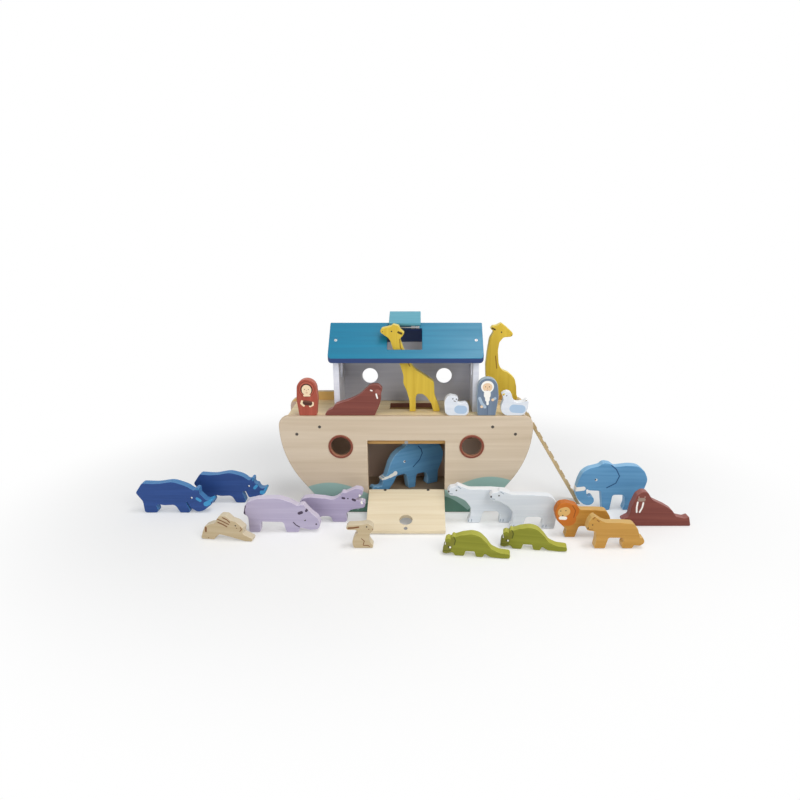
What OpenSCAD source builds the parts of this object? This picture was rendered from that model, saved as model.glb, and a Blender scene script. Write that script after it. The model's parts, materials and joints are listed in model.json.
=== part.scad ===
// Wooden toy ark with a drop-down door, a house on deck, a boarding plank and its figures.
// Millimetres. The origin is on the ground under the middle of the hull,
// +X runs along the hull, -Y is the door side and +Z is up.

/* [Hull] */
// Length of the hull over its side panels
hull_l = 400; // [380:1:430]
// Width of the hull over its side panels
hull_w = 104; // [100:1:120]
// Height of the front side panel, and of the deck that is flush with it
hull_h = 165; // [160:1:180]
// Length of the straight bottom edge of a side panel
base_l = 250; // [230:1:270]
// Height of the corner where the upright end of a side panel turns in
bilge_h = 96; // [85:1:105]
// Radius of that corner
bilge_r = 150; // [60:1:150]
// Radius of the upper corners of the front side panel
top_r = 16; // [6:1:20]
// Thickness of the side panels
side_t = 8; // [7:0.5:10]
// How far the back side panel stands above the deck
bulwark_h = 15; // [8:1:25]
// How far that upper part stops short of each end
bulwark_in = 34; // [20:1:40]
// Thickness of the slanted end boards
end_t = 8; // [6:0.5:10]
// How far the deck stops short of the end of the side panels
deck_inset = 14; // [10:1:24]
// Thickness of the deck
deck_t = 8; // [6:0.5:10]
// Thickness of the base board
base_t = 8; // [6:0.5:10]
// Height of the doorway's sill
sill_h = 30; // [26:1:36]
// How far the hold floor lies below the sill
floor_drop = 6; // [2:1:8]
// Thickness of the hold floor
floor_t = 8; // [6:0.5:10]
// Width of the rails that carry the deck
rail_w = 10; // [8:1:14]
// Height of the rails that carry the deck
rail_h = 20; // [14:1:22]
// Length of the slot in the right end board
slot_l = 40; // [24:1:60]
// Height of the slot in the right end board
slot_h = 8; // [6:1:12]
// Length of the hatch in the deck
deck_hatch_l = 79; // [50:1:90]
// Width of the hatch in the deck
deck_hatch_w = 36; // [20:1:36]

/* [Doorway] */
// Width of the doorway
door_w = 123; // [112:1:130]
// Distance of the top of the doorway below the deck's upper face
door_drop = 41; // [37:1:47]
// Thickness of the door
door_t = 7; // [6:0.5:7]
// Gap between the door and the doorway at its sides and top
door_gap = 0.5; // [0.3:0.1:1]
// Height of the door's hinge rod above the sill
rod_rise = 5.6; // [5.4:0.1:7]
// Diameter of the hinge rod
rod_d = 4; // [3:0.5:4]
// Length of the hinge rod in each jamb
rod_in = 10; // [6:1:14]
// Running clearance around the hinge rod and the lid's pin, on the radius
run_gap = 0.05; // [0.03:0.01:0.08]
// Diameter of the finger hole
finger_d = 20; // [16:1:24]
// Distance of the finger hole's centre from the door's free edge
finger_in = 23; // [18:1:30]
// Diameter of the two magnets
magnet_d = 6; // [4:0.5:7]
// Thickness of the magnets
magnet_t = 2; // [1.5:0.5:3]
// Distance of the door's magnet from its free edge
magnet_in = 5; // [4:0.5:8]
// Height of the batten that stops the door
batten_h = 14; // [12:1:18]
// Thickness of the batten that stops the door
batten_t = 8; // [6:0.5:10]
// How far the batten hangs below the top of the doorway
batten_drop = 8; // [6:1:10]
// Distance of the door's screws from its middle
door_screw_x = 35; // [25:1:45]

/* [Portholes] */
// Distance of each porthole from the middle of the hull
port_x = 104; // [98:1:110]
// Distance of the portholes' centres below the deck's upper face
port_drop = 51; // [49:1:55]
// Outer diameter of a porthole ring
port_d = 39; // [34:1:42]
// Width of a porthole ring
ring_w = 3.5; // [2.5:0.5:5]
// How far a ring stands out of the side panel
ring_proud = 1; // [0.5:0.5:2]

/* [House] */
// How far the roof stands out past each gable wall
roof_over = 6; // [4:0.5:8]
// Thickness of the gable walls
wall_t = 9; // [7:0.5:10]
// Thickness of the back wall
back_t = 6; // [5:0.5:8]
// Width of the walkway in front of the house
walkway = 22; // [20:1:24]
// Diameter of the gable windows
gable_window_d = 28; // [20:1:32]
// Height of the gable windows' centres above the deck
gable_window_z = 62; // [55:1:70]
// Diameter of the back windows
back_window_d = 26; // [20:1:30]
// Distance of the back windows from the middle of the house
back_window_x = 62; // [50:1:70]
// Height of the back windows' centres above the deck
back_window_z = 43; // [35:1:50]
// Diameter of the dowels under the gable walls
dowel_d = 5; // [4:0.5:6]
// Length of those dowels above the deck
dowel_up = 10; // [8:1:14]

/* [Roof] */
// Length of the roof
roof_l = 240; // [236:1:250]
// Thickness of the roof panels
roof_t = 6; // [5:0.5:7]
// Slope of the roof in degrees
roof_pitch = 42; // [38:1:44]
// Height of the front eave's upper edge above the deck
eave_h = 90; // [86:1:96]
// How far the eaves stand out from the house
eave_out = 15; // [10:1:18]
// Radius of the roof's lower corners
eave_r = 6; // [3:1:10]
// Width of the roof hatch
hatch_w = 54; // [50:1:56]
// Length of the roof hatch down the slope
hatch_l = 41; // [40:1:43]
// Distance of the roof hatch from the ridge, down the slope
hatch_in = 12; // [12:0.5:12.5]
// Thickness of the hatch lid
lid_t = 5; // [4:0.5:5]
// Gap above and below the hatch lid in its opening
lid_gap = 0.5; // [0.3:0.1:1]
// Gap at each side of the hatch lid in its opening
lid_side = 2; // [1:0.5:2.5]
// Radius of the lid hinge's knuckles
knuckle_r = 2.2; // [2:0.1:2.3]
// Length of one knuckle
knuckle_l = 6; // [5:0.5:7]
// Radius of the lid hinge's pin
pin_r = 1; // [0.8:0.1:1.2]

/* [Boarding plank] */
// Width of the boarding plank
plank_w = 24; // [18:1:28]
// Thickness of the boarding plank
plank_t = 5; // [4:0.5:7]
// Distance of the plank's foot from the end of the deck
plank_run = 100; // [80:1:110]
// Length of the plank above the edge of the deck
plank_over = 14; // [12:1:18]
// Number of treads
tread_n = 10; // [4:1:12]
// Width of a tread
tread_w = 4; // [3:0.5:6]
// Height of a tread
tread_h = 1.5; // [1.5:0.5:3]

/* [Fasteners] */
// Diameter of a screw head
head_d = 5; // [5:0.5:7]
// Depth of a screw head
head_t = 1.5; // [1:0.5:2]
// Diameter of a screw's shank
shank_d = 3; // [2:0.5:3.5]
// Length of a screw's shank past the board it holds
shank_in = 8; // [6:1:9]

/* [Figures] */
// Thickness of the wooden figures
figure_t = 14; // [12:0.5:14]

/* [Hidden] */
$fn = 64;

// Clearance between a loose or moving piece and what it lies on
rest_gap = 0.3;
// How far a cut runs past the face that it cuts
past = 1;
// Furthest that an arc may stray from its true curve
arc_tol = 0.08;

half_l = hull_l / 2;
half_w = hull_w / 2;
inner_y = half_w - side_t;
deck_half = half_l - deck_inset;
deck_under = hull_h - deck_t;
foot_r = 4;
floor_top = sill_h - floor_drop;

// Slanted end boards, between the base board and the deck
end_foot_x = base_l / 2 - 2;
end_lean = (deck_half - end_foot_x) / (deck_under - base_t);
end_span = end_t * sqrt(1 + end_lean * end_lean);
slot_z = hull_h - 40;

// Screws through the side panels, into the end boards and the rails
end_screw_z = hull_h - 30;
rail_screw_x = port_x + 32;
rail_screw_z = deck_under - rail_h / 2;

// Hatch in the deck, behind the middle of the house
deck_hatch_x = 12;
deck_hatch_y = 6;

// Doorway and portholes, measured down from the deck
door_top = hull_h - door_drop;
port_z = hull_h - port_drop;

// Door on its rod, which lies in the middle of the door's thickness
rod_y = -half_w + door_t / 2;
rod_z = sill_h + rod_rise;
door_reach = door_top - door_gap - rod_z;
door_fall = asin((rod_z - rest_gap) / norm([door_reach, door_t / 2])) - atan(door_t / 2 / door_reach);
door_open = 90 + door_fall;
batten_out = 10;
magnet_proud = 0.4;

// House and roof
house_half = roof_l / 2 - roof_over;
house_front = -half_w + walkway;
house_back = inner_y;
ridge_y = (house_front + house_back) / 2;
eave_run = (house_back - house_front) / 2 + eave_out;
ridge_z = hull_h + eave_h + eave_run * tan(roof_pitch);
slope_l = eave_run / cos(roof_pitch);
roof_drop = roof_t / cos(roof_pitch);
roof_screw_x = house_half - wall_t / 2;
dowel_ys = [house_front + 12, ridge_y, house_back - 12];

// Roof hatch and its lid, which lies back against the ridge
hatch_x = -2;
hinge_up = knuckle_r + rest_gap;
lid_over = asin(hinge_up / norm([hatch_in, hinge_up - rest_gap])) + atan((hinge_up - rest_gap) / hatch_in);
lid_open = 180 + lid_over;
leaf_l = 8;
leaf_t = 0.8;
roof_eye_x = hatch_w / 2 - 7;
lid_eye_x = roof_eye_x - knuckle_l - 1;

// Boarding plank, which leans on the right end of the deck
plank_y = -8;
plank_lean = atan(hull_h / plank_run);
plank_foot_x = deck_half + plank_run + rest_gap / sin(plank_lean);
plank_l = norm([hull_h, plank_run]) + plank_over;
cleat_l = 10;

// Where the figures stand: left end and middle of the thickness
walk_y = -half_w + figure_t / 2 + 2;
man_at = [deck_half - 76, walk_y, hull_h];
woman_at = [-(house_half + deck_half) / 2 - 20, walk_y, hull_h];
walrus_deck_at = [-house_half - 13, walk_y, hull_h];
dove_house_at = [deck_half - 126, walk_y, hull_h];
dove_deck_at = [deck_half - 38, walk_y, hull_h];
giraffe_house_y = house_front + figure_t / 2 + 2.5;
giraffe_house_at = [hatch_x - hatch_w / 2 - 11, giraffe_house_y, hull_h];
giraffe_deck_at = [roof_l / 2 + 6, inner_y - 30, hull_h];
elephant_hold_at = [-door_w / 2 + 1, -inner_y + 6.5, floor_top];
elephant_hold_turn = 30;
rhino_up_at = [-half_l - 159, -8, 0];
rhino_low_at = [-half_l - 240, -47, 0];
hippo_closed_at = [-half_l - 47, -half_w - 64, 0];
hippo_open_at = [-door_w / 2 - 108, -half_w - 29, 0];
rabbit_leap_at = [-half_l - 106, -half_w - 85, 0];
rabbit_leap_turn = -7;
rabbit_sit_at = [-86, -half_w - 114, 0];
bear_rear_at = [door_w / 2 + 3, -half_w - 32, 0];
bear_front_at = [door_w / 2 + 67, -half_w - 52, 0];
lizard_front_at = [55, -half_w - 133, 0];
lizard_rear_at = [140, -half_w - 113, 0];
lizard_turn = -8;
lion_at = [half_l + 23, -half_w - 80, 0];
lioness_at = [half_l + 63, -half_w - 115, 0];
elephant_ground_at = [half_l + 76, -37, 0];
walrus_ground_at = [half_l + 148, -half_w - 43, 0];

// Outlines with rounded corners: each point is [x, z, radius]
function flat(p) = [p[0], p[1]];
function unit(v) = v / norm(v);
function before(p, i) = flat(p[(i + len(p) - 1) % len(p)]) - flat(p[i]);
function after(p, i) = flat(p[(i + 1) % len(p)]) - flat(p[i]);
function corner(p, i) = acos(max(-1, min(1, unit(before(p, i)) * unit(after(p, i)))));
function tangent(p, i) = p[i][2] / tan(corner(p, i) / 2);
// A radius shrinks where two corners would need more than the edge between them
function room(edge, a, b) = a + b > edge ? edge / (a + b) * 0.98 : 1;
function fitted(p, i) = let (n = len(p), t = tangent(p, i))
    t * min(room(norm(after(p, i)), t, tangent(p, (i + 1) % n)),
            room(norm(before(p, i)), t, tangent(p, (i + n - 1) % n)));
function arc(p, i) = let (
        t = fitted(p, i),
        u = unit(before(p, i)),
        w = unit(after(p, i)),
        angle = corner(p, i),
        r = t * tan(angle / 2),
        middle = flat(p[i]) + unit(u + w) * r / sin(angle / 2),
        start = flat(p[i]) + u * t - middle,
        way = sign(u[1] * w[0] - u[0] * w[1]),
        turn = way * (180 - angle),
        steps = max(2, ceil(abs(turn) / (2 * acos(1 - min(0.5, arc_tol / r)))))
    ) [for (k = [0:steps]) let (a = turn * k / steps)
        middle + [start[0] * cos(a) - start[1] * sin(a), start[0] * sin(a) + start[1] * cos(a)]];
function rounded(p) = [for (i = [0:len(p) - 1])
    each p[i][2] > 0 && corner(p, i) < 179 ? arc(p, i) : [flat(p[i])]];

// A board cut to an outline in X and Z, from y to y + t
module upright(y, t) {
    translate([0, y + t, 0]) rotate([90, 0, 0]) linear_extrude(t) children();
}

// A bar with an outline in Y and Z, from x to x + l
module lengthwise(x, l) {
    translate([x, 0, 0]) rotate([90, 0, 90]) linear_extrude(l) children();
}

// A rod along Y, from y to y + l
module rod_y(x, y, z, r, l) {
    translate([x, y + l, z]) rotate([90, 0, 0]) cylinder(r = r, h = l);
}

// A rod along X, from x to x + l
module rod_x(x, y, z, r, l) {
    translate([x, y, z]) rotate([0, 90, 0]) cylinder(r = r, h = l);
}

module board(x, y, z, size) {
    translate([x, y, z]) cube(size);
}

function hull_outline(upper) = rounded(concat(
    upper,
    [[-half_l, bilge_h, bilge_r], [-base_l / 2, 0, foot_r]],
    [[base_l / 2, 0, foot_r], [half_l, bilge_h, bilge_r]],
    [for (i = [len(upper) - 1:-1:0]) [-upper[i].x, upper[i].y, upper[i].z]]));

// Outer face of the right end board at height z
function end_x(z) = deck_half - (deck_under - z) * end_lean;

function end_outline() = [
    [end_x(deck_under), deck_under], [end_x(base_t), base_t],
    [end_x(base_t) - end_span, base_t], [end_x(deck_under) - end_span, deck_under]];

// One screw through a side panel: its head lies in the panel's outer face. Side is -1 in front
module side_screw(x, z, side, out = 0) {
    face = side < 0 ? -half_w - out : half_w - head_t;
    length = side_t + shank_in - head_t;
    rod_y(x, face, z, head_d / 2, head_t + out);
    rod_y(x, side < 0 ? -half_w + head_t : half_w - head_t - length, z, shank_d / 2, length);
}

module side_screws(side, out = 0) {
    for (end = [-1, 1]) {
        side_screw(end * (end_x(end_screw_z) - end_span / 2), end_screw_z, side, out);
        side_screw(end * rail_screw_x, rail_screw_z, side, out);
    }
}

module porthole_cuts(side) {
    for (end = [-1, 1])
        rod_y(end * port_x, side < 0 ? -half_w - past : inner_y - past, port_z,
            port_d / 2, side_t + 2 * past);
}

module front_side_panel() {
    color("BurlyWood") difference() {
        upright(-half_w, side_t) polygon(hull_outline([[-half_l, hull_h, top_r]]));
        board(-door_w / 2, -half_w - past, sill_h, [door_w, side_t + 2 * past, door_top - sill_h]);
        porthole_cuts(-1);
        side_screws(-1, past);
        rod_x(-door_w / 2 - rod_in - rest_gap, rod_y, rod_z,
            rod_d / 2 + run_gap, door_w + 2 * (rod_in + rest_gap));
    }
}

module back_side_panel() {
    color("BurlyWood") difference() {
        upright(inner_y, side_t) polygon(hull_outline([
            [-half_l + bulwark_in, hull_h + bulwark_h, top_r], [-half_l, hull_h - 2, top_r]]));
        porthole_cuts(1);
        side_screws(1, past);
    }
}

module end_board() {
    upright(-inner_y, 2 * inner_y) polygon(end_outline());
}

module left_end_board() {
    color("Wheat") difference() {
        mirror([1, 0, 0]) end_board();
        side_screws(-1);
        side_screws(1);
    }
}

module right_end_board() {
    color("Wheat") difference() {
        end_board();
        side_screws(-1);
        side_screws(1);
        board(end_x(slot_z) - 2 * end_span, -slot_l / 2, slot_z - slot_h / 2, [3 * end_span, slot_l, slot_h]);
    }
}

module base_board() {
    color("Wheat") board(-base_l / 2 + foot_r, -inner_y, 0, [base_l - 2 * foot_r, 2 * inner_y, base_t]);
}

module hold_floor() {
    under = floor_top - floor_t;
    top_x = end_x(floor_top) - end_span;
    low_x = end_x(under) - end_span;
    color("Wheat") upright(-inner_y, 2 * inner_y)
        polygon([[-top_x, floor_top], [-low_x, under], [low_x, under], [top_x, floor_top]]);
}

module dowel_places() {
    for (end = [-1, 1], y = dowel_ys)
        translate([end * (house_half - wall_t / 2), y, 0]) children();
}

module deck() {
    color("BlanchedAlmond") difference() {
        board(-deck_half, -inner_y, deck_under, [2 * deck_half, 2 * inner_y, deck_t]);
        board(deck_hatch_x - deck_hatch_l / 2, deck_hatch_y - deck_hatch_w / 2, deck_under - past,
            [deck_hatch_l, deck_hatch_w, deck_t + 2 * past]);
        dowel_places() translate([0, 0, deck_under - past]) cylinder(d = dowel_d, h = deck_t + 2 * past);
    }
}

module deck_rails() {
    rail_l = 2 * (end_x(deck_under - rail_h) - end_span);
    color("Peru") difference() {
        for (y = [-inner_y, inner_y - rail_w])
            board(-rail_l / 2, y, deck_under - rail_h, [rail_l, rail_w, rail_h]);
        side_screws(-1);
        side_screws(1);
    }
}

module door_stop_batten() {
    color("Peru") difference() {
        board(-door_w / 2 - batten_out, -inner_y, door_top - batten_drop,
            [door_w + 2 * batten_out, batten_t, batten_h]);
        rod_y(0, -inner_y - past, door_top - door_gap - magnet_in, magnet_d / 2, past + magnet_t);
    }
}

module stop_magnet() {
    color("DimGray") rod_y(0, -inner_y - magnet_proud, door_top - door_gap - magnet_in, magnet_d / 2,
        magnet_t + magnet_proud);
}

module porthole_rings() {
    ring_l = side_t + ring_proud;
    color("Sienna") for (end = [-1, 1], y = [-half_w - ring_proud, inner_y]) difference() {
        rod_y(end * port_x, y, port_z, port_d / 2, ring_l);
        rod_y(end * port_x, y - past, port_z, port_d / 2 - ring_w, ring_l + 2 * past);
    }
}

module hull_screws() {
    color("DimGray") for (side = [-1, 1]) side_screws(side);
}

// The door's pieces are drawn shut, then turned about the rod until the free edge reaches the ground
module opened() {
    translate([0, rod_y, rod_z]) rotate([door_open, 0, 0]) translate([0, -rod_y, -rod_z]) children();
}

module door_screw_shape(x, out = 0) {
    reach = door_t / 2 - head_t;
    rod_y(x, rod_y + door_t / 2 - head_t, rod_z, head_d / 2, head_t + out);
    rod_y(x, rod_y, rod_z, shank_d / 4, reach);
}

module door() {
    leaf_w = door_w - 2 * door_gap;
    free_edge = rod_z + door_reach;
    color("Moccasin") opened() difference() {
        union() {
            board(-leaf_w / 2, rod_y - door_t / 2, rod_z, [leaf_w, door_t, door_reach]);
            rod_x(-leaf_w / 2, rod_y, rod_z, door_t / 2, leaf_w);
        }
        rod_x(-leaf_w / 2 - past, rod_y, rod_z, rod_d / 2, leaf_w + 2 * past);
        rod_y(0, rod_y - door_t, free_edge - finger_in, finger_d / 2, 2 * door_t);
        rod_y(0, rod_y + door_t / 2 - magnet_t, free_edge - magnet_in, magnet_d / 2, magnet_t + past);
        for (end = [-1, 1]) door_screw_shape(end * door_screw_x, past);
    }
}

module door_rod() {
    color("Silver") opened() difference() {
        rod_x(-door_w / 2 - rod_in, rod_y, rod_z, rod_d / 2, door_w + 2 * rod_in);
        for (end = [-1, 1]) door_screw_shape(end * door_screw_x);
    }
}

module door_screws() {
    color("DimGray") opened() for (end = [-1, 1]) door_screw_shape(end * door_screw_x);
}

module door_magnet() {
    color("DimGray") opened()
        rod_y(0, rod_y + door_t / 2 - magnet_t, rod_z + door_reach - magnet_in, magnet_d / 2, magnet_t);
}

// Underside of the roof at depth y
function roof_under(y) = ridge_z - roof_drop - abs(y - ridge_y) * tan(roof_pitch);

module gable_wall(x) {
    difference() {
        lengthwise(x, wall_t) polygon([
            [house_front, hull_h], [house_back, hull_h], [house_back, roof_under(house_back)],
            [ridge_y, roof_under(ridge_y)], [house_front, roof_under(house_front)]]);
        rod_x(x - past, ridge_y, hull_h + gable_window_z, gable_window_d / 2, wall_t + 2 * past);
        dowel_places() translate([0, 0, hull_h - past]) cylinder(d = dowel_d, h = dowel_up + past);
        roof_screw_places() roof_screw();
    }
}

module house_left_wall() {
    color("White") gable_wall(-house_half);
}

module house_right_wall() {
    color("White") gable_wall(house_half - wall_t);
}

module house_back_wall() {
    inside = house_back - back_t;
    length = 2 * (house_half - wall_t);
    color("Gainsboro") difference() {
        lengthwise(-length / 2, length) polygon([
            [inside, hull_h], [house_back, hull_h],
            [house_back, roof_under(house_back)], [inside, roof_under(inside)]]);
        for (end = [-1, 1])
            rod_y(end * back_window_x, inside - past, hull_h + back_window_z,
                back_window_d / 2, back_t + 2 * past);
    }
}

module house_dowels() {
    color("Tan") dowel_places() translate([0, 0, deck_under]) cylinder(d = dowel_d, h = deck_t + dowel_up);
}

// The front slope: local Y runs up the slope to the ridge at 0, and local Z is 0 on its upper face
module on_slope() {
    translate([0, ridge_y, ridge_z]) rotate([roof_pitch, 0, 0]) children();
}

module other_slope() {
    translate([0, 2 * ridge_y, 0]) mirror([0, 1, 0]) children();
}

module slope_panel() {
    half = roof_l / 2;
    eave_y = ridge_y - eave_run;
    eave_z = hull_h + eave_h;
    intersection() {
        lengthwise(-half, roof_l) polygon([
            [ridge_y, ridge_z], [ridge_y, ridge_z - roof_drop],
            [eave_y, eave_z - roof_drop], [eave_y, eave_z]]);
        linear_extrude(ridge_z + past) polygon(rounded([
            [-half, ridge_y, 0], [-half, eave_y, eave_r], [half, eave_y, eave_r], [half, ridge_y, 0]]));
    }
}

module roof_screw(out = 0) {
    depth = roof_t + shank_in - head_t;
    translate([0, 0, -head_t]) cylinder(d = head_d, h = head_t + out);
    translate([0, 0, -head_t - depth]) cylinder(d = shank_d, h = depth);
}

module roof_screw_places() {
    for (end = [-1, 1]) {
        on_slope() translate([end * roof_screw_x, -slope_l / 2, 0]) children();
        other_slope() on_slope() translate([end * roof_screw_x, -slope_l / 2, 0]) children();
    }
}

module roof_front_panel() {
    color("SteelBlue") difference() {
        slope_panel();
        on_slope() board(hatch_x - hatch_w / 2, -hatch_in - hatch_l, -roof_t - past,
            [hatch_w, hatch_l, roof_t + 2 * past]);
        roof_screw_places() roof_screw(past);
    }
}

module roof_back_panel() {
    color("SteelBlue") difference() {
        other_slope() slope_panel();
        roof_screw_places() roof_screw(past);
    }
}

module roof_screws() {
    color("LightGray") roof_screw_places() roof_screw();
}

// One hinge eye around the lid's pin: leaf_way is 1 on the roof and -1 on the lid
module hinge_eye(x, leaf_way, bore) {
    translate([0, -hatch_in, 0]) difference() {
        union() {
            rod_x(x - knuckle_l / 2, 0, hinge_up, knuckle_r, knuckle_l);
            board(x - knuckle_l / 2, leaf_way > 0 ? lid_gap : -lid_gap - leaf_l, 0,
                [knuckle_l, leaf_l, leaf_t]);
            board(x - knuckle_l / 2, leaf_way > 0 ? lid_gap : -lid_gap - knuckle_r / 2, 0,
                [knuckle_l, knuckle_r / 2, hinge_up]);
        }
        rod_x(x - knuckle_l, 0, hinge_up, bore, 2 * knuckle_l);
    }
}

module roof_hinge_eyes() {
    color("Silver") on_slope() for (end = [-1, 1]) hinge_eye(hatch_x + end * roof_eye_x, 1, pin_r);
}

module lid_hinge_pin() {
    reach = roof_eye_x + knuckle_l / 2;
    color("Silver") on_slope() rod_x(hatch_x - reach, -hatch_in, hinge_up, pin_r, 2 * reach);
}

// The lid's pieces are drawn shut, then turned about the pin until the lid lies on the ridge
module lid_opened() {
    on_slope() translate([0, -hatch_in, hinge_up]) rotate([-lid_open, 0, 0])
        translate([0, hatch_in, -hinge_up])
        children();
}

module hatch_lid() {
    lid_w = hatch_w - 2 * lid_side;
    color("LightSeaGreen") lid_opened()
        board(hatch_x - lid_w / 2, -hatch_in - hatch_l + lid_gap, -lid_t,
            [lid_w, hatch_l - 2 * lid_gap, lid_t]);
}

module lid_hinge_eyes() {
    color("Silver") lid_opened() for (end = [-1, 1])
        hinge_eye(hatch_x + end * lid_eye_x, -1, pin_r + run_gap);
}

// Point on the plank's underside, d from its foot, raised by n from it
function plank_point(d, n) = [
    plank_foot_x - d * cos(plank_lean) + n * sin(plank_lean),
    d * sin(plank_lean) + n * cos(plank_lean)];

module across_plank(w) {
    upright(plank_y - w / 2, w) children();
}

module boarding_plank() {
    sole = plank_t / tan(plank_lean);
    color("Tan") across_plank(plank_w) polygon([
        plank_point(0, 0), plank_point(plank_l, 0),
        plank_point(plank_l, plank_t), plank_point(-sole, plank_t)]);
}

module plank_treads() {
    spacing = (plank_l - 2 * plank_over) / (tread_n - 1);
    color("Peru") for (k = [0:tread_n - 1]) let (d = plank_over + k * spacing) across_plank(plank_w) polygon([
        plank_point(d, plank_t), plank_point(d + tread_w, plank_t),
        plank_point(d + tread_w, plank_t + tread_h), plank_point(d, plank_t + tread_h)]);
}

module plank_cleat() {
    low = (hull_h + rest_gap) / sin(plank_lean);
    heel = plank_point(low, 0);
    tip = plank_point(low + cleat_l, 0);
    color("Peru") across_plank(plank_w) polygon([heel, tip, [tip[0] - cleat_l / 2, heel[1]]]);
}

// One figure, sawn from a board and stood on its place
module figure(at, outline, turn = 0) {
    translate(at) rotate([0, 0, turn]) upright(-figure_t / 2, figure_t) polygon(rounded(outline));
}

person = [[3, 0, 2], [0, 26, 12], [2, 58, 15], [31, 58, 15], [33, 26, 12], [30, 0, 2]];

tall_person = [[2, 0, 2], [0, 30, 14], [2, 60, 15], [31, 60, 15], [34, 30, 14], [30, 0, 2]];

giraffe = [
    [0, 128, 3], [3, 133, 4], [17, 136, 6], [21, 139, 2],
    [29, 137, 3], [32, 131, 2], [38, 126, 2], [35, 121, 2],
    [31, 117, 3], [36, 102, 60], [44, 82, 20], [53, 70, 14],
    [72, 57, 40], [84, 49, 6], [85, 27, 20], [93, 6, 30],
    [94, 0, 2], [83, 0, 2], [80, 13, 12], [72, 24, 10], [66, 29, 6], [57, 29, 4], [55, 22, 10], [55, 0, 2],
    [45, 0, 2], [45, 18, 30], [41, 33, 30], [35, 47, 10],
    [36, 58, 20], [31, 75, 40], [21, 97, 40], [16, 113, 6],
    [13, 118, 5], [3, 125, 5]];

giraffe_looking_back = [
    [13, 122, 2], [8, 127, 1.5], [11, 131, 2], [18, 132, 4], [25, 136, 3],
    [34, 129, 6], [45, 119, 4], [42, 114, 4], [29, 113, 6],
    [23, 105, 5], [21, 92, 30], [23, 70, 16], [28, 60, 10], [40, 55, 16],
    [50, 46, 12], [53, 33, 10], [54, 20, 10], [60, 0, 2],
    [50, 0, 2], [44, 19, 8], [25, 22, 8], [23, 0, 2], [12, 0, 2], [8, 30, 20], [3, 48, 12], [2, 68, 30],
    [4, 89, 40], [7, 111, 12]];

dove_turned = [
    [1, 5, 5], [0, 15, 12], [0, 27, 12], [8, 33, 8], [18, 31, 5], [22, 27, 2], [17, 22, 3], [24, 20, 8],
    [34, 21, 4], [38, 15, 8], [38, 5, 5], [34, 0, 5], [6, 0, 6]];

dove = [
    [1, 6, 6], [0, 15, 12], [4, 26, 8], [2, 32, 2], [0, 34, 1.5],
    [4, 37, 3], [9, 39, 6], [15, 37, 5], [18, 27, 10],
    [22, 21, 7], [34, 22, 10], [40, 26, 2], [43, 22, 3], [42, 10, 12], [36, 0, 10], [8, 0, 8]];

walrus = [
    [0, 2, 2], [5, 8, 3], [12, 11, 5], [17, 18, 8], [25, 21, 14], [41, 26, 40], [54, 32, 40], [64, 42, 25],
    [72, 49, 9], [84, 50, 8], [91, 43, 5], [88, 34, 4], [88, 23, 20], [83, 11, 20], [78, 0, 2], [2, 0, 2]];

walrus_upright = [
    [-10, 11, 1.5], [0, 17, 4], [3, 35, 15], [9, 52, 8],
    [19, 60, 9], [26, 56, 8], [34, 44, 15], [55, 34, 25],
    [66, 27, 12], [74, 16, 6], [87, 13, 6], [94, 16, 1.5],
    [98, 0, 2], [4, 0, 3], [-1, 4, 3], [-10, 8, 1.5]];

elephant = [
    [0, 31, 8], [1, 39, 4], [4, 53, 20], [9, 66, 16], [18, 73, 18], [37, 78, 12], [42, 84, 8], [54, 82, 7],
    [61, 76, 8], [84, 79, 40], [99, 78, 20], [111, 68, 18],
    [117, 54, 16], [113, 38, 16], [104, 22, 14], [103, 0, 2],
    [80, 0, 2], [83, 12, 10], [82, 27, 6], [62, 27, 4], [59, 0, 2], [47, 0, 2], [42, 34, 3], [22, 35, 4],
    [17, 41, 2], [19, 29, 8], [22, 21, 4], [27, 26, 3], [34, 18, 8], [29, 9, 9], [17, 8, 14], [4, 20, 18]];

elephant_reaching = [
    [1, 12, 4], [5, 17, 3], [12, 14, 5], [19, 14, 4], [22, 22, 5], [18, 26, 1.5], [28, 31, 3], [36, 53, 25],
    [43, 64, 18], [53, 71, 14], [64, 75, 8], [67, 80, 7],
    [77, 81, 8], [85, 75, 8], [99, 77, 30], [117, 76, 20],
    [130, 69, 18], [138, 53, 16], [135, 38, 16], [127, 22, 14],
    [126, 0, 2], [105, 0, 2], [107, 12, 10], [103, 23, 6],
    [84, 23, 4], [82, 0, 2], [69, 0, 2], [66, 22, 4], [62, 28, 4], [46, 27, 4], [41, 17, 12], [32, 6, 8],
    [24, 1, 6], [15, 1, 8], [4, 5, 6]];

rhino = [
    [0, 35, 4], [12, 52, 6], [36, 50, 50], [62, 55, 30],
    [84, 49, 30], [96, 38, 4], [98, 45, 2], [103, 47, 2],
    [102, 35, 4], [108, 34, 2], [112, 24, 6], [125, 30, 2],
    [118, 15, 8], [91, 9, 4], [86, 22, 3], [80, 20, 3],
    [85, 4, 4], [84, 0, 2], [69, 0, 3], [62, 13, 8], [44, 12, 20], [27, 16, 4], [33, 6, 5], [32, 0, 4],
    [11, 0, 4], [10, 20, 10]];

rhino_grazing = [
    [0, 35, 4], [12, 52, 6], [36, 51, 50], [62, 55, 30],
    [84, 47, 30], [95, 38, 4], [99, 44, 2], [104, 43, 2],
    [104, 33, 4], [110, 26, 6], [114, 21, 6], [127, 26, 2],
    [121, 14, 8], [108, 4, 10], [98, 1, 8], [87, 8, 12],
    [82, 19, 3], [80, 18, 3], [85, 4, 4], [84, 0, 2], [69, 0, 3], [62, 14, 8], [44, 13, 20], [28, 16, 4],
    [33, 6, 5], [32, 0, 4], [11, 0, 4], [10, 20, 10]];

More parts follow.
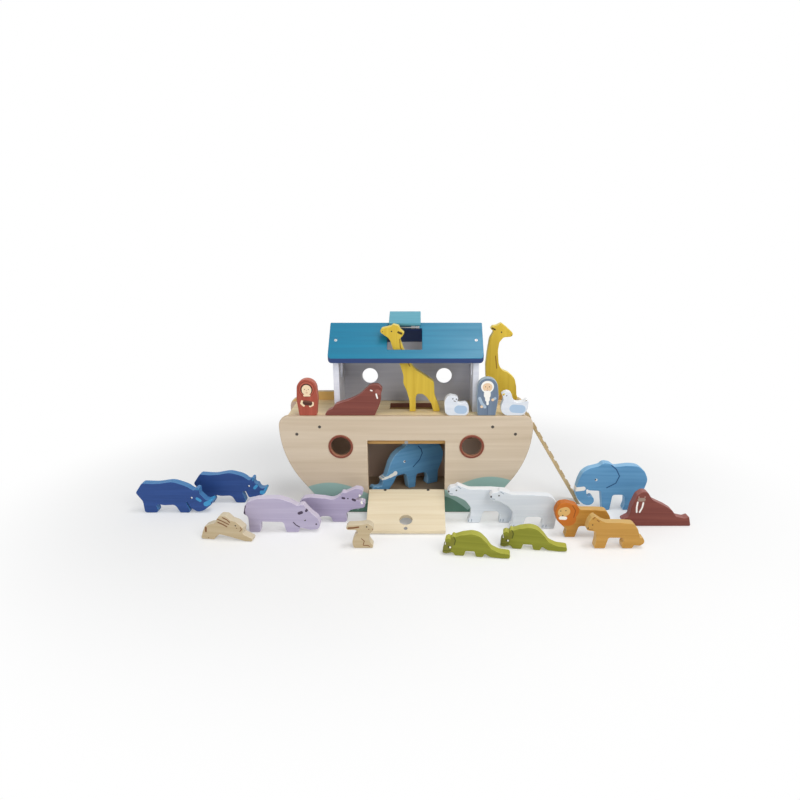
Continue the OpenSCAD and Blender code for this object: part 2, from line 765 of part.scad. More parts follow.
hippo_closed = [
    [0, 31, 3], [3, 44, 6], [8, 51, 10], [22, 56, 20], [55, 57, 30], [72, 51, 20], [84, 43, 6], [88, 46, 2],
    [93, 46, 2], [96, 41, 5], [103, 33, 10], [113, 24, 8],
    [117, 13, 8], [113, 5, 6], [101, 4, 10], [85, 8, 3],
    [83, 0, 3], [64, 0, 3], [60, 17, 4], [25, 18, 4], [24, 0, 3], [7, 0, 3], [7, 26, 6]];

hippo_open = [
    [0, 32, 3], [8, 41, 8], [20, 43, 20], [40, 41, 30], [55, 38, 12], [66, 45, 6], [70, 51, 2], [75, 50, 3],
    [92, 58, 8], [104, 55, 5], [100, 45, 5], [87, 39, 2],
    [105, 34, 2], [105, 25, 5], [82, 21, 8], [74, 14, 6],
    [76, 4, 4], [74, 0, 3], [53, 0, 3], [50, 10, 6], [32, 10, 6], [31, 0, 3], [12, 0, 3], [11, 17, 8],
    [9, 27, 4]];

rabbit_leaping_shape = [
    [0, 3, 3], [3, 12, 8], [7, 21, 3], [15, 25, 8], [25, 27, 8], [27, 34, 3], [32, 40, 4], [42, 40, 4],
    [49, 33, 3], [58, 30, 6], [68, 21, 4], [65, 12, 4], [80, 5, 3], [79, 0, 2], [68, 0, 6], [44, 6, 20],
    [29, 9, 4], [22, 3, 3], [20, 0, 2], [1, 0, 2]];

rabbit_sitting_shape = [
    [3, 29, 2], [0, 33, 3], [5, 37, 4], [24, 38, 6], [33, 40, 6], [40, 35, 6], [41, 29, 4], [35, 23, 4],
    [34, 13, 8], [40, 4, 3], [39, 0, 2], [11, 0, 3], [9, 10, 12], [13, 20, 8], [21, 26, 3], [14, 29, 2]];

polar_bear = [
    [0, 54, 3], [4, 60, 3], [13, 62, 4], [16, 65, 2], [20, 63, 2], [34, 57, 20], [70, 57, 60], [93, 55, 14],
    [103, 46, 14], [105, 28, 30], [102, 0, 3], [81, 0, 3],
    [84, 13, 6], [79, 20, 5], [57, 20, 5], [54, 8, 10],
    [53, 0, 3], [31, 0, 3], [37, 13, 12], [38, 25, 14], [29, 38, 16], [14, 46, 14], [4, 47, 4]];

lizard = [
    [0, 3, 2], [1, 13, 8], [5, 19, 2], [3, 24, 2], [8, 27, 3],
    [12, 25, 1.5], [14, 31, 2], [18, 29, 2], [28, 33, 12],
    [42, 36, 20], [53, 33, 16], [62, 24, 16], [69, 14, 12],
    [80, 9, 16], [95, 8, 3], [97, 1, 3], [84, 0, 10], [68, 1, 8],
    [60, 6, 2], [58, 0, 3], [48, 0, 3], [46, 8, 2], [33, 8, 2],
    [31, 0, 3], [18, 0, 3], [15, 5, 3], [6, 2, 4]];

lion_shape = [
    [0, 43, 12], [6, 55, 8], [17, 57, 12], [32, 53, 10],
    [38, 45, 6], [60, 45, 20], [77, 44, 8], [84, 33, 14],
    [85, 12, 20], [86, 0, 2], [73, 0, 2], [71, 14, 8], [62, 18, 4], [38, 18, 4], [33, 0, 2], [17, 0, 2],
    [20, 14, 4], [15, 17, 4], [4, 28, 10]];

lioness_shape = [
    [0, 32, 4], [2, 42, 8], [6, 49, 3], [10, 52, 2], [15, 48, 4], [26, 41, 20], [48, 41, 40], [67, 40, 8],
    [74, 32, 14], [77, 23, 10], [79, 16, 2], [83, 18, 3], [87, 9, 5], [80, 4, 5], [71, 5, 2], [69, 0, 2],
    [54, 0, 2], [53, 8, 5], [57, 15, 4], [52, 17, 3], [33, 17, 3], [29, 0, 2], [13, 0, 2], [15, 14, 20],
    [14, 27, 3], [1, 29, 2]];

module bearded_man() { color("SlateGray") figure(man_at, tall_person); }
module woman_with_bowl() { color("Sienna") figure(woman_at, person); }
module giraffe_in_house() { color("Goldenrod") figure(giraffe_house_at, giraffe); }
module giraffe_on_deck() { color("Goldenrod") figure(giraffe_deck_at, giraffe_looking_back); }
module dove_by_house() { color("White") figure(dove_house_at, dove_turned); }
module dove_on_deck() { color("White") figure(dove_deck_at, dove); }
module walrus_on_deck() { color("Brown") figure(walrus_deck_at, walrus); }
module walrus_on_ground() { color("Brown") figure(walrus_ground_at, walrus_upright); }
module elephant_in_hold() {
    color("CornflowerBlue") figure(elephant_hold_at, elephant_reaching, elephant_hold_turn);
}
module elephant_on_ground() { color("CornflowerBlue") figure(elephant_ground_at, elephant); }
module rhino_head_up() { color("MidnightBlue") figure(rhino_up_at, rhino); }
module rhino_head_down() { color("MidnightBlue") figure(rhino_low_at, rhino_grazing); }
module hippo_mouth_closed() { color("Thistle") figure(hippo_closed_at, hippo_closed); }
module hippo_mouth_open() { color("Thistle") figure(hippo_open_at, hippo_open); }
module rabbit_leaping() { color("Tan") figure(rabbit_leap_at, rabbit_leaping_shape, rabbit_leap_turn); }
module rabbit_sitting() { color("Tan") figure(rabbit_sit_at, rabbit_sitting_shape); }
module polar_bear_rear() { color("WhiteSmoke") figure(bear_rear_at, polar_bear); }
module polar_bear_front() { color("WhiteSmoke") figure(bear_front_at, polar_bear); }
module lizard_front() { color("OliveDrab") figure(lizard_front_at, lizard, lizard_turn); }
module lizard_rear() { color("OliveDrab") figure(lizard_rear_at, lizard, lizard_turn); }
module lion() { color("Chocolate") figure(lion_at, lion_shape); }
module lioness() { color("SandyBrown") figure(lioness_at, lioness_shape); }

front_side_panel();
back_side_panel();
left_end_board();
right_end_board();
base_board();
hold_floor();
deck();
deck_rails();
door_stop_batten();
stop_magnet();
porthole_rings();
hull_screws();
door();
door_rod();
door_screws();
door_magnet();
house_left_wall();
house_right_wall();
house_back_wall();
house_dowels();
roof_front_panel();
roof_back_panel();
roof_screws();
roof_hinge_eyes();
lid_hinge_pin();
hatch_lid();
lid_hinge_eyes();
boarding_plank();
plank_treads();
plank_cleat();
bearded_man();
woman_with_bowl();
giraffe_in_house();
giraffe_on_deck();
dove_by_house();
dove_on_deck();
walrus_on_deck();
walrus_on_ground();
elephant_in_hold();
elephant_on_ground();
rhino_head_up();
rhino_head_down();
hippo_mouth_closed();
hippo_mouth_open();
rabbit_leaping();
rabbit_sitting();
polar_bear_rear();
polar_bear_front();
lizard_front();
lizard_rear();
lion();
lioness();
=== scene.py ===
# %% [markdown]
# # A wooden toy ark and its animals
# The toy is sawn from plywood and thick boards, then stained or painted by hand. The solids are
# already right in size, so this lesson dresses them: it eases their edges, gives them wood and
# paint, adds screw heads, and paints the eyes, ears and clothes of the figures.

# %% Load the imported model
import json
import math
from collections import namedtuple
import bmesh
import bpy
from mathutils import Matrix, Vector


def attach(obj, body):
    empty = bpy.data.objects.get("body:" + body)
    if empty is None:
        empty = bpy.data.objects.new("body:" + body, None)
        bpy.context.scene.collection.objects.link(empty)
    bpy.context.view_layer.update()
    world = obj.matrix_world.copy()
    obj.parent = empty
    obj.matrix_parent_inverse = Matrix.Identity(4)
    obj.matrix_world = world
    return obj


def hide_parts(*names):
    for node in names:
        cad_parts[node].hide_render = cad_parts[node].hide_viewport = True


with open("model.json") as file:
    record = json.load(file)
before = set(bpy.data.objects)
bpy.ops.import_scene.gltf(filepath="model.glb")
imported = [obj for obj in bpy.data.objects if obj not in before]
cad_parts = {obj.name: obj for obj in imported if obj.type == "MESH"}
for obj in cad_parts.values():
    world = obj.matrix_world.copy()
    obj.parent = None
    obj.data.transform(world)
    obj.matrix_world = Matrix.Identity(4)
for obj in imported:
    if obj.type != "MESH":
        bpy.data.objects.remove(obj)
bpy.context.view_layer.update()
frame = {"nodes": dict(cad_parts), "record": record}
body_of = {}
for body_name, members in frame["record"]["behaviour"]["bodies"].items():
    for member in members:
        body_of[member] = body_name
MM = 0.001
# The deck's top is this far above the ground, in millimetres
DECK = 165

# %% [markdown]
# ## Camera
# The picture was taken from a little above the roof, straight at the door side. A camera tilted
# down by 18 degrees sees the walkway and the top edges of the figures as the picture does. It
# stands slightly right of the middle, because more of the left sides of the right figures shows.

# %% Camera
lens_data = bpy.data.cameras.new("view")
lens_data.sensor_width = 36
lens_data.lens = 28.6
lens_data.shift_x = -0.0275
lens_data.shift_y = 0.035
lens_data.clip_end = 50
camera = bpy.data.objects.new("view", lens_data)
camera.location = (0.025, -1.002, 0.454)
tilt_down = 18
camera.rotation_euler = (math.radians(90 - tilt_down), 0, 0)
bpy.context.scene.collection.objects.link(camera)
bpy.context.scene.camera = camera
bpy.context.scene.view_settings.view_transform = "Standard"
print("camera at", tuple(camera.location))

# %% [markdown]
# ## Colours and nodes
# Colours are read off as sRGB hex codes, which one function turns into the linear numbers that
# the renderer works in. Another adds a shader node, sets its inputs or links them, and hands
# back one of its outputs, so that a material reads like a recipe.


# %% Colours and nodes
def linear(code):
    parts = [int(code[i:i + 2], 16) / 255 for i in (1, 3, 5)]
    return [p / 12.92 if p <= 0.04045 else ((p + 0.055) / 1.055) ** 2.4 for p in parts] + [1]


def add(tree, kind, inputs, out=0, **settings):
    made = tree.nodes.new("ShaderNode" + kind)
    for name, value in settings.items():
        setattr(made, name, value)
    for key, value in inputs.items():
        if isinstance(value, bpy.types.NodeSocket):
            tree.links.new(value, made.inputs[key])
        else:
            made.inputs[key].default_value = value
    return made.outputs[out] if made.outputs else None


def new_material(name, roughness, metallic=0.0, gloss=0.5):
    material = bpy.data.materials.new(name)
    material.use_nodes = True
    shader = material.node_tree.nodes["Principled BSDF"]
    shader.inputs["Roughness"].default_value = roughness
    shader.inputs["Metallic"].default_value = metallic
    shader.inputs["Specular IOR Level"].default_value = gloss
    return material, material.node_tree, shader


# Where a Mix node for colours takes its share and its two colours, and where it gives the result
SHARE, FIRST, SECOND, MIXED = 0, 6, 7, 2
print("white is", linear("#FFFFFF"))

# %% [markdown]
# ## Floor and light
# The toy stands on a matt pale floor. Close to the toy the floor takes its soft shadow, and away
# from it the camera sees plain white, so that no horizon shows. Three broad lamps light the toy:
# the key from the front right, a weaker fill from the left, and one above on the right that picks
# out the top edges of the boards and gives the roof its sheen.


# %% What the camera sees
# One where the camera looks straight, by a gloss or through something clear, and nought elsewhere
def seen_by_camera(tree):
    rays = add(tree, "LightPath", {}).node.outputs
    seen = add(tree, "Math", {0: rays["Is Camera Ray"], 1: rays["Is Glossy Ray"]}, operation="MAXIMUM")
    return add(tree, "Math", {0: seen, 1: rays["Is Transmission Ray"]}, operation="MAXIMUM")


print("the camera's view can be told from other light")

# %% Floor
# The floor lies a little below the toy, so that the two never share a plane
bpy.ops.object.select_all(action="DESELECT")
bpy.ops.mesh.primitive_plane_add(size=12, location=(0, 0, -0.6 * MM))
floor = bpy.context.object
floor.name = "floor"
bpy.ops.object.transform_apply(location=True, rotation=True, scale=True)
floor_paint, tree, shader = new_material("matt_pale_floor", roughness=0.9)
place = add(tree, "TexCoord", {}, "Object")
cloud = add(tree, "TexNoise", {"Vector": place, "Scale": 3.0, "Detail": 2.0}, "Fac")
tint = add(tree, "Mix", {SHARE: cloud, FIRST: linear("#F4F4F3"), SECOND: linear("#FAFAF9")}, MIXED,
           data_type="RGBA")
tree.links.new(tint, shader.inputs["Base Color"])
# A quarter of the look is plain white within 0.35 m of the middle, and all of it beyond 0.75 m. Depth
# counts a fifth more than width
reach = add(tree, "VectorMath", {0: place, 1: (1, 1.2, 0)}, operation="MULTIPLY")
apart = add(tree, "VectorMath", {0: reach}, "Value", operation="LENGTH")
fade = add(tree, "MapRange", {
    "Value": apart, "From Min": 0.35, "From Max": 0.75, "To Min": 0.25, "To Max": 1.0},
    interpolation_type="SMOOTHSTEP")
seen = seen_by_camera(tree)
shown = add(tree, "Math", {0: fade, 1: seen}, operation="MULTIPLY")
glow = add(tree, "Emission", {"Color": (1, 1, 1, 1), "Strength": 1.0})
blend = add(tree, "MixShader", {0: shown, 1: shader.outputs[0], 2: glow})
tree.links.new(blend, tree.nodes["Material Output"].inputs["Surface"])
floor.data.materials.append(floor_paint)
print("floor laid")


# %% Lamps
def soft_lamp(name, place, target, size, watts, colour=(1, 1, 1)):
    data = bpy.data.lights.new(name, "AREA")
    data.shape = "RECTANGLE"
    data.size = size[0]
    data.size_y = size[1]
    data.energy = watts
    data.color = colour
    lamp = bpy.data.objects.new(name, data)
    lamp.location = place
    lamp.rotation_euler = (Vector(target) - Vector(place)).to_track_quat("-Z", "Y").to_euler()
    bpy.context.scene.collection.objects.link(lamp)


middle = (0, -0.02, 0.1)
soft_lamp("key", (0.9, -1.5, 1.3), middle, size=(1.2, 1.0), watts=16, colour=(1.0, 0.98, 0.96))
soft_lamp("fill", (-1.3, -1.5, 0.6), middle, size=(1.4, 1.0), watts=9, colour=(0.97, 0.98, 1.0))
soft_lamp("top", (0.5, -0.25, 1.9), middle, size=(0.7, 0.7), watts=13)
print("three lamps hung")

# %% World
world = bpy.data.worlds.new("studio")
bpy.context.scene.world = world
world.use_nodes = True
tree = world.node_tree
tree.nodes.clear()
seen = seen_by_camera(tree)
soft = add(tree, "Background", {"Color": (0.95, 0.97, 1, 1), "Strength": 0.36})
bright = add(tree, "Background", {"Color": (1, 1, 1, 1), "Strength": 1.0})
both = add(tree, "MixShader", {0: seen, 1: soft, 2: bright})
add(tree, "OutputWorld", {"Surface": both})
print("studio walls are white to the camera and in gloss, and dimmer as a light")

# %% [markdown]
# ## Dressing a solid
# A toy's boards have sanded edges, because children handle them. Each solid is copied, its loose
# triangles are merged into whole faces, and a bevel rounds the edges by a real amount. Weighted
# normals then keep the broad faces flat beside the rounded edges, so that no streaks show.


# %% Take one piece in hand and put it in place of its solid
def only(piece):
    bpy.ops.object.select_all(action="DESELECT")
    piece.select_set(True)
    bpy.context.view_layer.objects.active = piece


def stands_for(piece, node, material):
    piece.data.materials.clear()
    piece.data.materials.append(material)
    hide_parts(node)
    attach(piece, body_of[node])


# %% Fill broad faces
# The two broad faces of an upright board are filled afresh from their outlines and holes, so that no
# triangle in them folds over another
def fill_broad_faces(piece):
    flush = 0.001 * MM
    shape = bmesh.new()
    shape.from_mesh(piece.data)
    for way in (Vector((0, 1, 0)), Vector((0, -1, 0))):
        outermost = max(corner.co.dot(way) for corner in shape.verts)
        faces = {face for face in shape.faces
                 if all(abs(corner.co.dot(way) - outermost) < flush for corner in face.verts)}
        edges = {edge for face in faces for edge in face.edges}
        rims = {edge for edge in edges if len(faces.intersection(edge.link_faces)) == 1}
        seams = edges - rims
        bmesh.ops.delete(shape, geom=list(faces), context="FACES_ONLY")
        bmesh.ops.delete(shape, geom=list(seams), context="EDGES")
        bmesh.ops.triangle_fill(shape, edges=list(rims), normal=way, use_beauty=True)
    shape.to_mesh(piece.data)
    shape.free()


print("broad faces can be filled")


# %% Copy a solid and mark its edges for sanding
# Corners closer than the weld become one. Edges that turn by more than the sharp angle, in degrees, are
# marked, apart from those no longer than the least, such as the ones round small screw holes.
def marked_copy(node, least, weld, sharp):
    piece = bpy.data.objects.new(node + "_piece", frame["nodes"][node].data.copy())
    bpy.context.scene.collection.objects.link(piece)
    only(piece)
    bpy.ops.object.mode_set(mode="EDIT")
    bpy.ops.mesh.select_all(action="SELECT")
    bpy.ops.mesh.remove_doubles(threshold=weld * MM)
    bpy.ops.mesh.dissolve_limited(angle_limit=math.radians(1))
    bpy.ops.mesh.select_mode(type="EDGE")
    bpy.ops.mesh.select_all(action="DESELECT")
    bpy.ops.mesh.edges_select_sharp(sharpness=math.radians(sharp))
    bpy.ops.object.mode_set(mode="OBJECT")
    weights = piece.data.attributes.new("bevel_weight_edge", "FLOAT", "EDGE")
    for edge in piece.data.edges:
        start, end = [piece.data.vertices[corner].co for corner in edge.vertices]
        weights.data[edge.index].value = float(edge.select and (end - start).length > least * MM)
    return piece


print("solids can be copied")


# %% Ease the edges of a copy
# The ease, the least and the weld are millimetres
def dressed(node, material, ease=0.8, segments=3, least=0.8, weld=0.01, sharp=50):
    piece = marked_copy(node, least, weld, sharp)
    rounding = piece.modifiers.new("sanded_edges", "BEVEL")
    rounding.width = ease * MM
    rounding.segments = segments
    rounding.limit_method = "WEIGHT"
    # Every edge is rounded by the same amount, whatever lies beside it
    rounding.use_clamp_overlap = False
    rounding.loop_slide = False
    rounding.miter_outer = "MITER_ARC"
    bpy.ops.object.modifier_apply(modifier=rounding.name)
    # The side panels have many holes, so their broad faces are filled afresh
    if node.endswith("side_panel"):
        fill_broad_faces(piece)
    bpy.ops.object.shade_smooth_by_angle(angle=math.radians(40))
    flat = piece.modifiers.new("flat_faces", "WEIGHTED_NORMAL")
    flat.keep_sharp = True
    # The largest face at a corner alone sets its shading, however small the faces are
    flat.weight = 100
    flat.thresh = 0
    bpy.ops.object.modifier_apply(modifier=flat.name)
    stands_for(piece, node, material)


print("solids can be dressed")

# %% [markdown]
# ## Wood grain
# All the finishes lie on wood, and the grain shows through each of them. Growth bands are several
# millimetres wide where a log was peeled or sawn, and run far along the board. Pores are a tenth
# of a millimetre wide on the real board, which is too fine to show, so they are drawn coarser.

# %% Start a wood with its grain
Wood = namedtuple("Wood", "material tree shader local normal bands pores rough")


def start_wood(name, rough, band, along=0, gloss=0.5, place=(0, 0, 0), turn=0):
    material, tree, shader = new_material(name, rough, gloss=gloss)
    at = add(tree, "TexCoord", {}, "Object")
    # The mapping gives millimetres from the place, turned with the piece
    local = add(tree, "Mapping", {
        "Vector": at, "Location": [p * MM for p in place], "Rotation": (0, 0, math.radians(turn)),
        "Scale": (MM, MM, MM)}, vector_type="TEXTURE")
    streaks = []
    # Bands and pores run many times further along the board than across it
    longer = 30
    pore = 0.8
    for width, detail, bent in ((band, 3.0, 0.6), (pore, 2.0, 0.0)):
        stretch = [1 / (longer * width) if i == along else 1 / width for i in range(3)]
        drawn = add(tree, "VectorMath", {0: local, 1: stretch}, operation="MULTIPLY")
        streaks.append(add(tree, "TexNoise", {
            "Vector": drawn, "Scale": 1.0, "Detail": detail, "Distortion": bent}, "Fac"))
    return Wood(material, tree, shader, local, at.node.outputs["Normal"], streaks[0], streaks[1], rough)


print("a wood keeps", ", ".join(Wood._fields))


# %% Streak and finish a wood
def streaked(wood, face, shade, high=0.75):
    strength = add(wood.tree, "MapRange", {"Value": wood.bands, "From Min": 0.3, "From Max": high})
    return add(wood.tree, "Mix", {SHARE: strength, FIRST: linear(face), SECOND: linear(shade)}, MIXED,
               data_type="RGBA")


def finish_wood(wood, colour, relief=0.06):
    # The darker bands stand a little higher and shine a little less
    tree = wood.tree
    tree.links.new(colour, wood.shader.inputs["Base Color"])
    least, most = wood.rough - 0.06, wood.rough + 0.08
    uneven = add(tree, "MapRange", {
        "Value": wood.bands, "From Min": 0.3, "From Max": 0.7, "To Min": least, "To Max": most})
    tree.links.new(uneven, wood.shader.inputs["Roughness"])
    height = add(tree, "Math", {0: wood.bands, 1: wood.pores}, operation="ADD")
    bump = add(tree, "Bump", {"Height": height, "Strength": relief, "Distance": 0.6 * MM})
    tree.links.new(bump, wood.shader.inputs["Normal"])
    return wood.material


print("grain ready")

# %% [markdown]
# ## Birch plywood
# The hull is birch plywood under clear lacquer. Its faces show broad, soft bands where the knife
# peeled round the log and fine pores along the board. Its sawn edges show the layers, each about
# 1.4 mm thick, in turn light and dark.


# %% Birch plywood
# The thickness of one layer, in millimetres
LAYER = 1.35


def birch_ply(name, face, shade, layer_axis=None, along=0, rough=0.45):
    wood = start_wood(name, rough, band=9.0, along=along)
    tree = wood.tree
    colour = streaked(wood, face, shade, high=0.8)
    pores = add(tree, "MapRange", {
        "Value": wood.pores, "From Min": 0.55, "From Max": 0.75, "To Min": 0.0, "To Max": 0.2})
    colour = add(tree, "Mix", {SHARE: pores, FIRST: colour, SECOND: linear(shade)}, MIXED,
                 data_type="RGBA")
    if layer_axis is None:
        return wood, colour
    # Layers show only where a face looks away from the board's thin direction
    sides = add(tree, "SeparateXYZ", {0: wood.normal}).node.outputs
    facing = add(tree, "Math", {0: sides[layer_axis]}, operation="ABSOLUTE")
    edge = add(tree, "MapRange", {"Value": facing, "From Min": 0.75, "From Max": 0.45})
    across = add(tree, "SeparateXYZ", {0: wood.local}).node.outputs
    turns = add(tree, "Math", {0: across[layer_axis], 1: math.pi / LAYER}, operation="MULTIPLY")
    wave = add(tree, "Math", {0: turns}, operation="SINE")
    light = add(tree, "MapRange", {"Value": wave, "From Min": -0.3, "From Max": 0.3})
    layers = add(tree, "Mix", {SHARE: light, FIRST: linear("#B0906A"), SECOND: linear("#DCCBAE")}, MIXED,
                 data_type="RGBA")
    return wood, add(tree, "Mix", {SHARE: edge, FIRST: colour, SECOND: layers}, MIXED, data_type="RGBA")


print("plywood ready")

# %% [markdown]
# ## Waves on the hull
# Low waves are painted along the bottom of both side panels: a pale one with broad crests, which
# rises a little to the right, and a dark green one below it. Each is a height that follows round
# arches along the hull, and everything below that height is painted.


# %% A painted wave
def painted_wave(wood, colour, outside, paint, crest, width, low, high, tilt):
    tree = wood.tree
    parts = add(tree, "SeparateXYZ", {0: wood.local}).node.outputs
    moved = add(tree, "Math", {0: parts[0], 1: crest}, operation="SUBTRACT")
    angle = add(tree, "Math", {0: moved, 1: math.pi / width}, operation="MULTIPLY")
    swing = add(tree, "Math", {0: angle}, operation="COSINE")
    arch = add(tree, "Math", {0: swing}, operation="ABSOLUTE")
    height = add(tree, "MapRange", {"Value": arch, "To Min": low, "To Max": high})
    top = add(tree, "Math", {0: parts[0], 1: tilt, 2: height}, operation="MULTIPLY_ADD")
    depth = add(tree, "Math", {0: top, 1: parts[2]}, operation="SUBTRACT")
    covered = add(tree, "MapRange", {"Value": depth, "From Min": -0.3, "From Max": 0.3, "To Max": 0.93})
    where = add(tree, "Math", {0: covered, 1: outside}, operation="MULTIPLY")
    return add(tree, "Mix", {SHARE: where, FIRST: colour, SECOND: linear(paint)}, MIXED,
               data_type="RGBA")


print("waves can be painted")


# %% Side panels
def side_panel_ply(name, outward):
    wood, colour = birch_ply(name, "#D3C3AD", "#C2AF95", layer_axis=1)
    tree = wood.tree
    sides = add(tree, "SeparateXYZ", {0: wood.normal}).node.outputs
    facing = add(tree, "Math", {0: sides[1], 1: outward}, operation="MULTIPLY")
    outside = add(tree, "MapRange", {"Value": facing, "From Min": 0.6, "From Max": 0.8})
    colour = painted_wave(
        wood, colour, outside, "#8FB5AE", crest=132, width=130, low=36, high=57.5, tilt=0.04)
    colour = painted_wave(
        wood, colour, outside, "#4F7F6E", crest=55, width=90, low=4, high=29, tilt=0.0)
    if outward > 0:
        # Above the deck the inside of the back panel is coloured ochre
        inside = add(tree, "MapRange", {"Value": facing, "From Min": -0.6, "From Max": -0.8})
        parts = add(tree, "SeparateXYZ", {0: wood.local}).node.outputs
        above = add(tree, "MapRange", {"Value": parts[2], "From Min": DECK - 5, "From Max": DECK - 1})
        ochre = add(tree, "Mix", {
            SHARE: above, FIRST: linear("#CDB4A2"), SECOND: linear("#D9B066")}, MIXED, data_type="RGBA")
        colour = add(tree, "Mix", {SHARE: inside, FIRST: colour, SECOND: ochre}, MIXED,
                     data_type="RGBA")
    return finish_wood(wood, colour)


dressed("front_side_panel", side_panel_ply("birch_ply_front", outward=-1), ease=1.2)
dressed("back_side_panel", side_panel_ply("birch_ply_back", outward=1), ease=1.2)
print("side panels dressed")

# %% [markdown]
# ## Boards inside the hull
# The end boards and the deck are the same plywood. The floor of the hold is duller, and its
# colour is darker as painted shade for the dim hold. The sawn rim of the deck's hatch is coloured
# red-brown, and the rails and the batten that stops the door are ochre-stained pine.

# %% Boards inside the hull
end_ply = finish_wood(*birch_ply("birch_ply_ends", "#CFBBA0", "#B59E7E", layer_axis=0, along=1))
dressed("left_end_board", end_ply, ease=0.5, segments=2)
dressed("right_end_board", end_ply, ease=0.5, segments=2)
base_ply = finish_wood(*birch_ply("birch_ply_base", "#CFBBA0", "#B59E7E", layer_axis=2))
dressed("base_board", base_ply, ease=0.5, segments=2)
# The hold floor's darker colour is painted shade for the dim hold
dull_shaded_ply = finish_wood(*birch_ply("birch_ply_hold_painted_shade", "#A8937A", "#927C62", layer_axis=2, rough=0.6))
dressed("hold_floor", dull_shaded_ply, ease=0.5, segments=2)
ochre_pine = finish_wood(*birch_ply("ochre_stained_pine", "#C9A15D", "#A87C3F"))
dressed("deck_rails", ochre_pine, ease=0.6, segments=2)
dressed("door_stop_batten", ochre_pine, segments=2, least=3)
print("hull boards dressed")

# %% Deck
wood, colour = birch_ply("birch_ply_deck", "#F2DDB0", "#DEC694", layer_axis=2)
tree = wood.tree
parts = add(tree, "SeparateXYZ", {0: wood.local}).node.outputs
sides = add(tree, "SeparateXYZ", {0: wood.normal}).node.outputs
# The hatch's rim: within 44 mm of X 12 and 22 mm of Y 6, on faces that don't look up
rim = add(tree, "MapRange", {"Value": sides[2], "From Min": 0.7, "From Max": 0.4})
for axis, centre, span in ((0, 12, 44), (1, 6, 22)):
    near = add(tree, "Math", {0: parts[axis], 1: centre, 2: span}, operation="COMPARE")
    rim = add(tree, "Math", {0: rim, 1: near}, operation="MULTIPLY")
colour = add(tree, "Mix", {SHARE: rim, FIRST: colour, SECOND: linear("#7A4A36")}, MIXED,
             data_type="RGBA")
dressed("deck", finish_wood(wood, colour), ease=0.6, segments=2)
print("deck dressed")

# %% [markdown]
# ## Door, plank and rings
# The door is a pale maple board, so it reads as a bright ramp. The plank that leans on the deck
# is pale pine. The porthole rings are turned and painted a satin red-brown, which hides most of
# the grain but not all of it.

# %% Door and plank
maple = finish_wood(*birch_ply("lacquered_maple", "#E9DCC0", "#DCCAA6", rough=0.38))
dressed("door", maple, ease=1.0)
dressed("house_dowels", maple, ease=0.3, segments=2, least=0)
plank_pine = finish_wood(*birch_ply("plank_pine", "#CDB88F", "#B59C6E", along=2))
for node in ("boarding_plank", "plank_treads", "plank_cleat"):
    dressed(node, plank_pine, ease=0.5, segments=2)
print("door and plank dressed")


# %% Painted wood
def painted_wood(name, colour, shade, rough=0.42):
    wood = start_wood(name, rough, band=6.0, gloss=0.3)
    return finish_wood(wood, streaked(wood, colour, shade), relief=0.035)


wood = start_wood("red_brown_satin_paint", rough=0.5, band=6.0, gloss=0.3)
colour = streaked(wood, "#86483A", "#733A2B")
# Inside each ring the paint thins out to a paler tan, which is also a painted highlight for the lit
# inner wall
sides = add(wood.tree, "SeparateXYZ", {0: wood.normal}).node.outputs
facing = add(wood.tree, "Math", {0: sides[1]}, operation="ABSOLUTE")
lit_thin_edge = add(wood.tree, "MapRange", {"Value": facing, "From Min": 0.75, "From Max": 0.35})
colour = add(wood.tree, "Mix", {SHARE: lit_thin_edge, FIRST: colour, SECOND: linear("#B98468")}, MIXED,
             data_type="RGBA")
dressed("porthole_rings", finish_wood(wood, colour, relief=0.035))
print("rings dressed")

# %% [markdown]
# ## House and roof
# The gable walls are white satin paint over wood. The back wall is painted a pale grey, which is
# painted shade for the dim inside of the house. The roof is a deep turquoise stain with a soft
# gloss. Its sawn edges and its underside are navy, and the hatch lid is a paler turquoise.

# %% House
house_white = painted_wood("white_satin_paint", "#E8EAF2", "#DADDE8")
# The back wall's grey is painted shade for the dim inside of the house
house_shade_grey = painted_wood("pale_grey_paint_as_shade", "#CACBD4", "#BCBEC9")
dressed("house_left_wall", house_white)
dressed("house_right_wall", house_white)
dressed("house_back_wall", house_shade_grey)
print("house dressed")

# %% Roof
wood = start_wood("turquoise_wood_stain", rough=0.36, band=8.0, gloss=0.4)
colour = streaked(wood, "#067A9C", "#046D8E")
sides = add(wood.tree, "SeparateXYZ", {0: wood.normal}).node.outputs
edge = add(wood.tree, "MapRange", {"Value": sides[2], "From Min": 0.45, "From Max": 0.2})
colour = add(wood.tree, "Mix", {SHARE: edge, FIRST: colour, SECOND: linear("#22386A")}, MIXED,
             data_type="RGBA")
turquoise = finish_wood(wood, colour, relief=0.03)
# The eaves turn by only 48 degrees and are eased too
dressed("roof_front_panel", turquoise, ease=1.0, sharp=45)
dressed("roof_back_panel", turquoise, ease=1.0, sharp=45)
dressed("hatch_lid", painted_wood("pale_turquoise_stain", "#64A7B8", "#5297AB", rough=0.4), ease=0.9)
print("roof dressed")

# %% [markdown]
# ## Steel
# Screws, hinge and magnets are small pieces of zinc-plated steel, dull and slightly blotched. The
# screw heads get a soft rim and a cross recess, modelled once for each set and copied. On the hull
# and the door they are blackened, and on the roof they are painted white.


# %% Steel pieces
def plated_steel(name, colour, rough):
    material, tree, shader = new_material(name, rough, metallic=1.0)
    at = add(tree, "TexCoord", {}, "Object")
    # Blotches in the plating lie about so many millimetres apart
    spacing = 0.5
    blotch = add(tree, "TexNoise", {"Vector": at, "Scale": 1 / (spacing * MM), "Detail": 4.0}, "Fac")
    tint = add(tree, "Mix", {SHARE: blotch, FIRST: linear(colour), SECOND: linear("#6E6A66")}, MIXED,
               data_type="RGBA")
    tree.links.new(tint, shader.inputs["Base Color"])
    dull = add(tree, "MapRange", {
        "Value": blotch, "From Min": 0.3, "From Max": 0.7, "To Min": rough - 0.1, "To Max": rough + 0.1})
    tree.links.new(dull, shader.inputs["Roughness"])
    return material


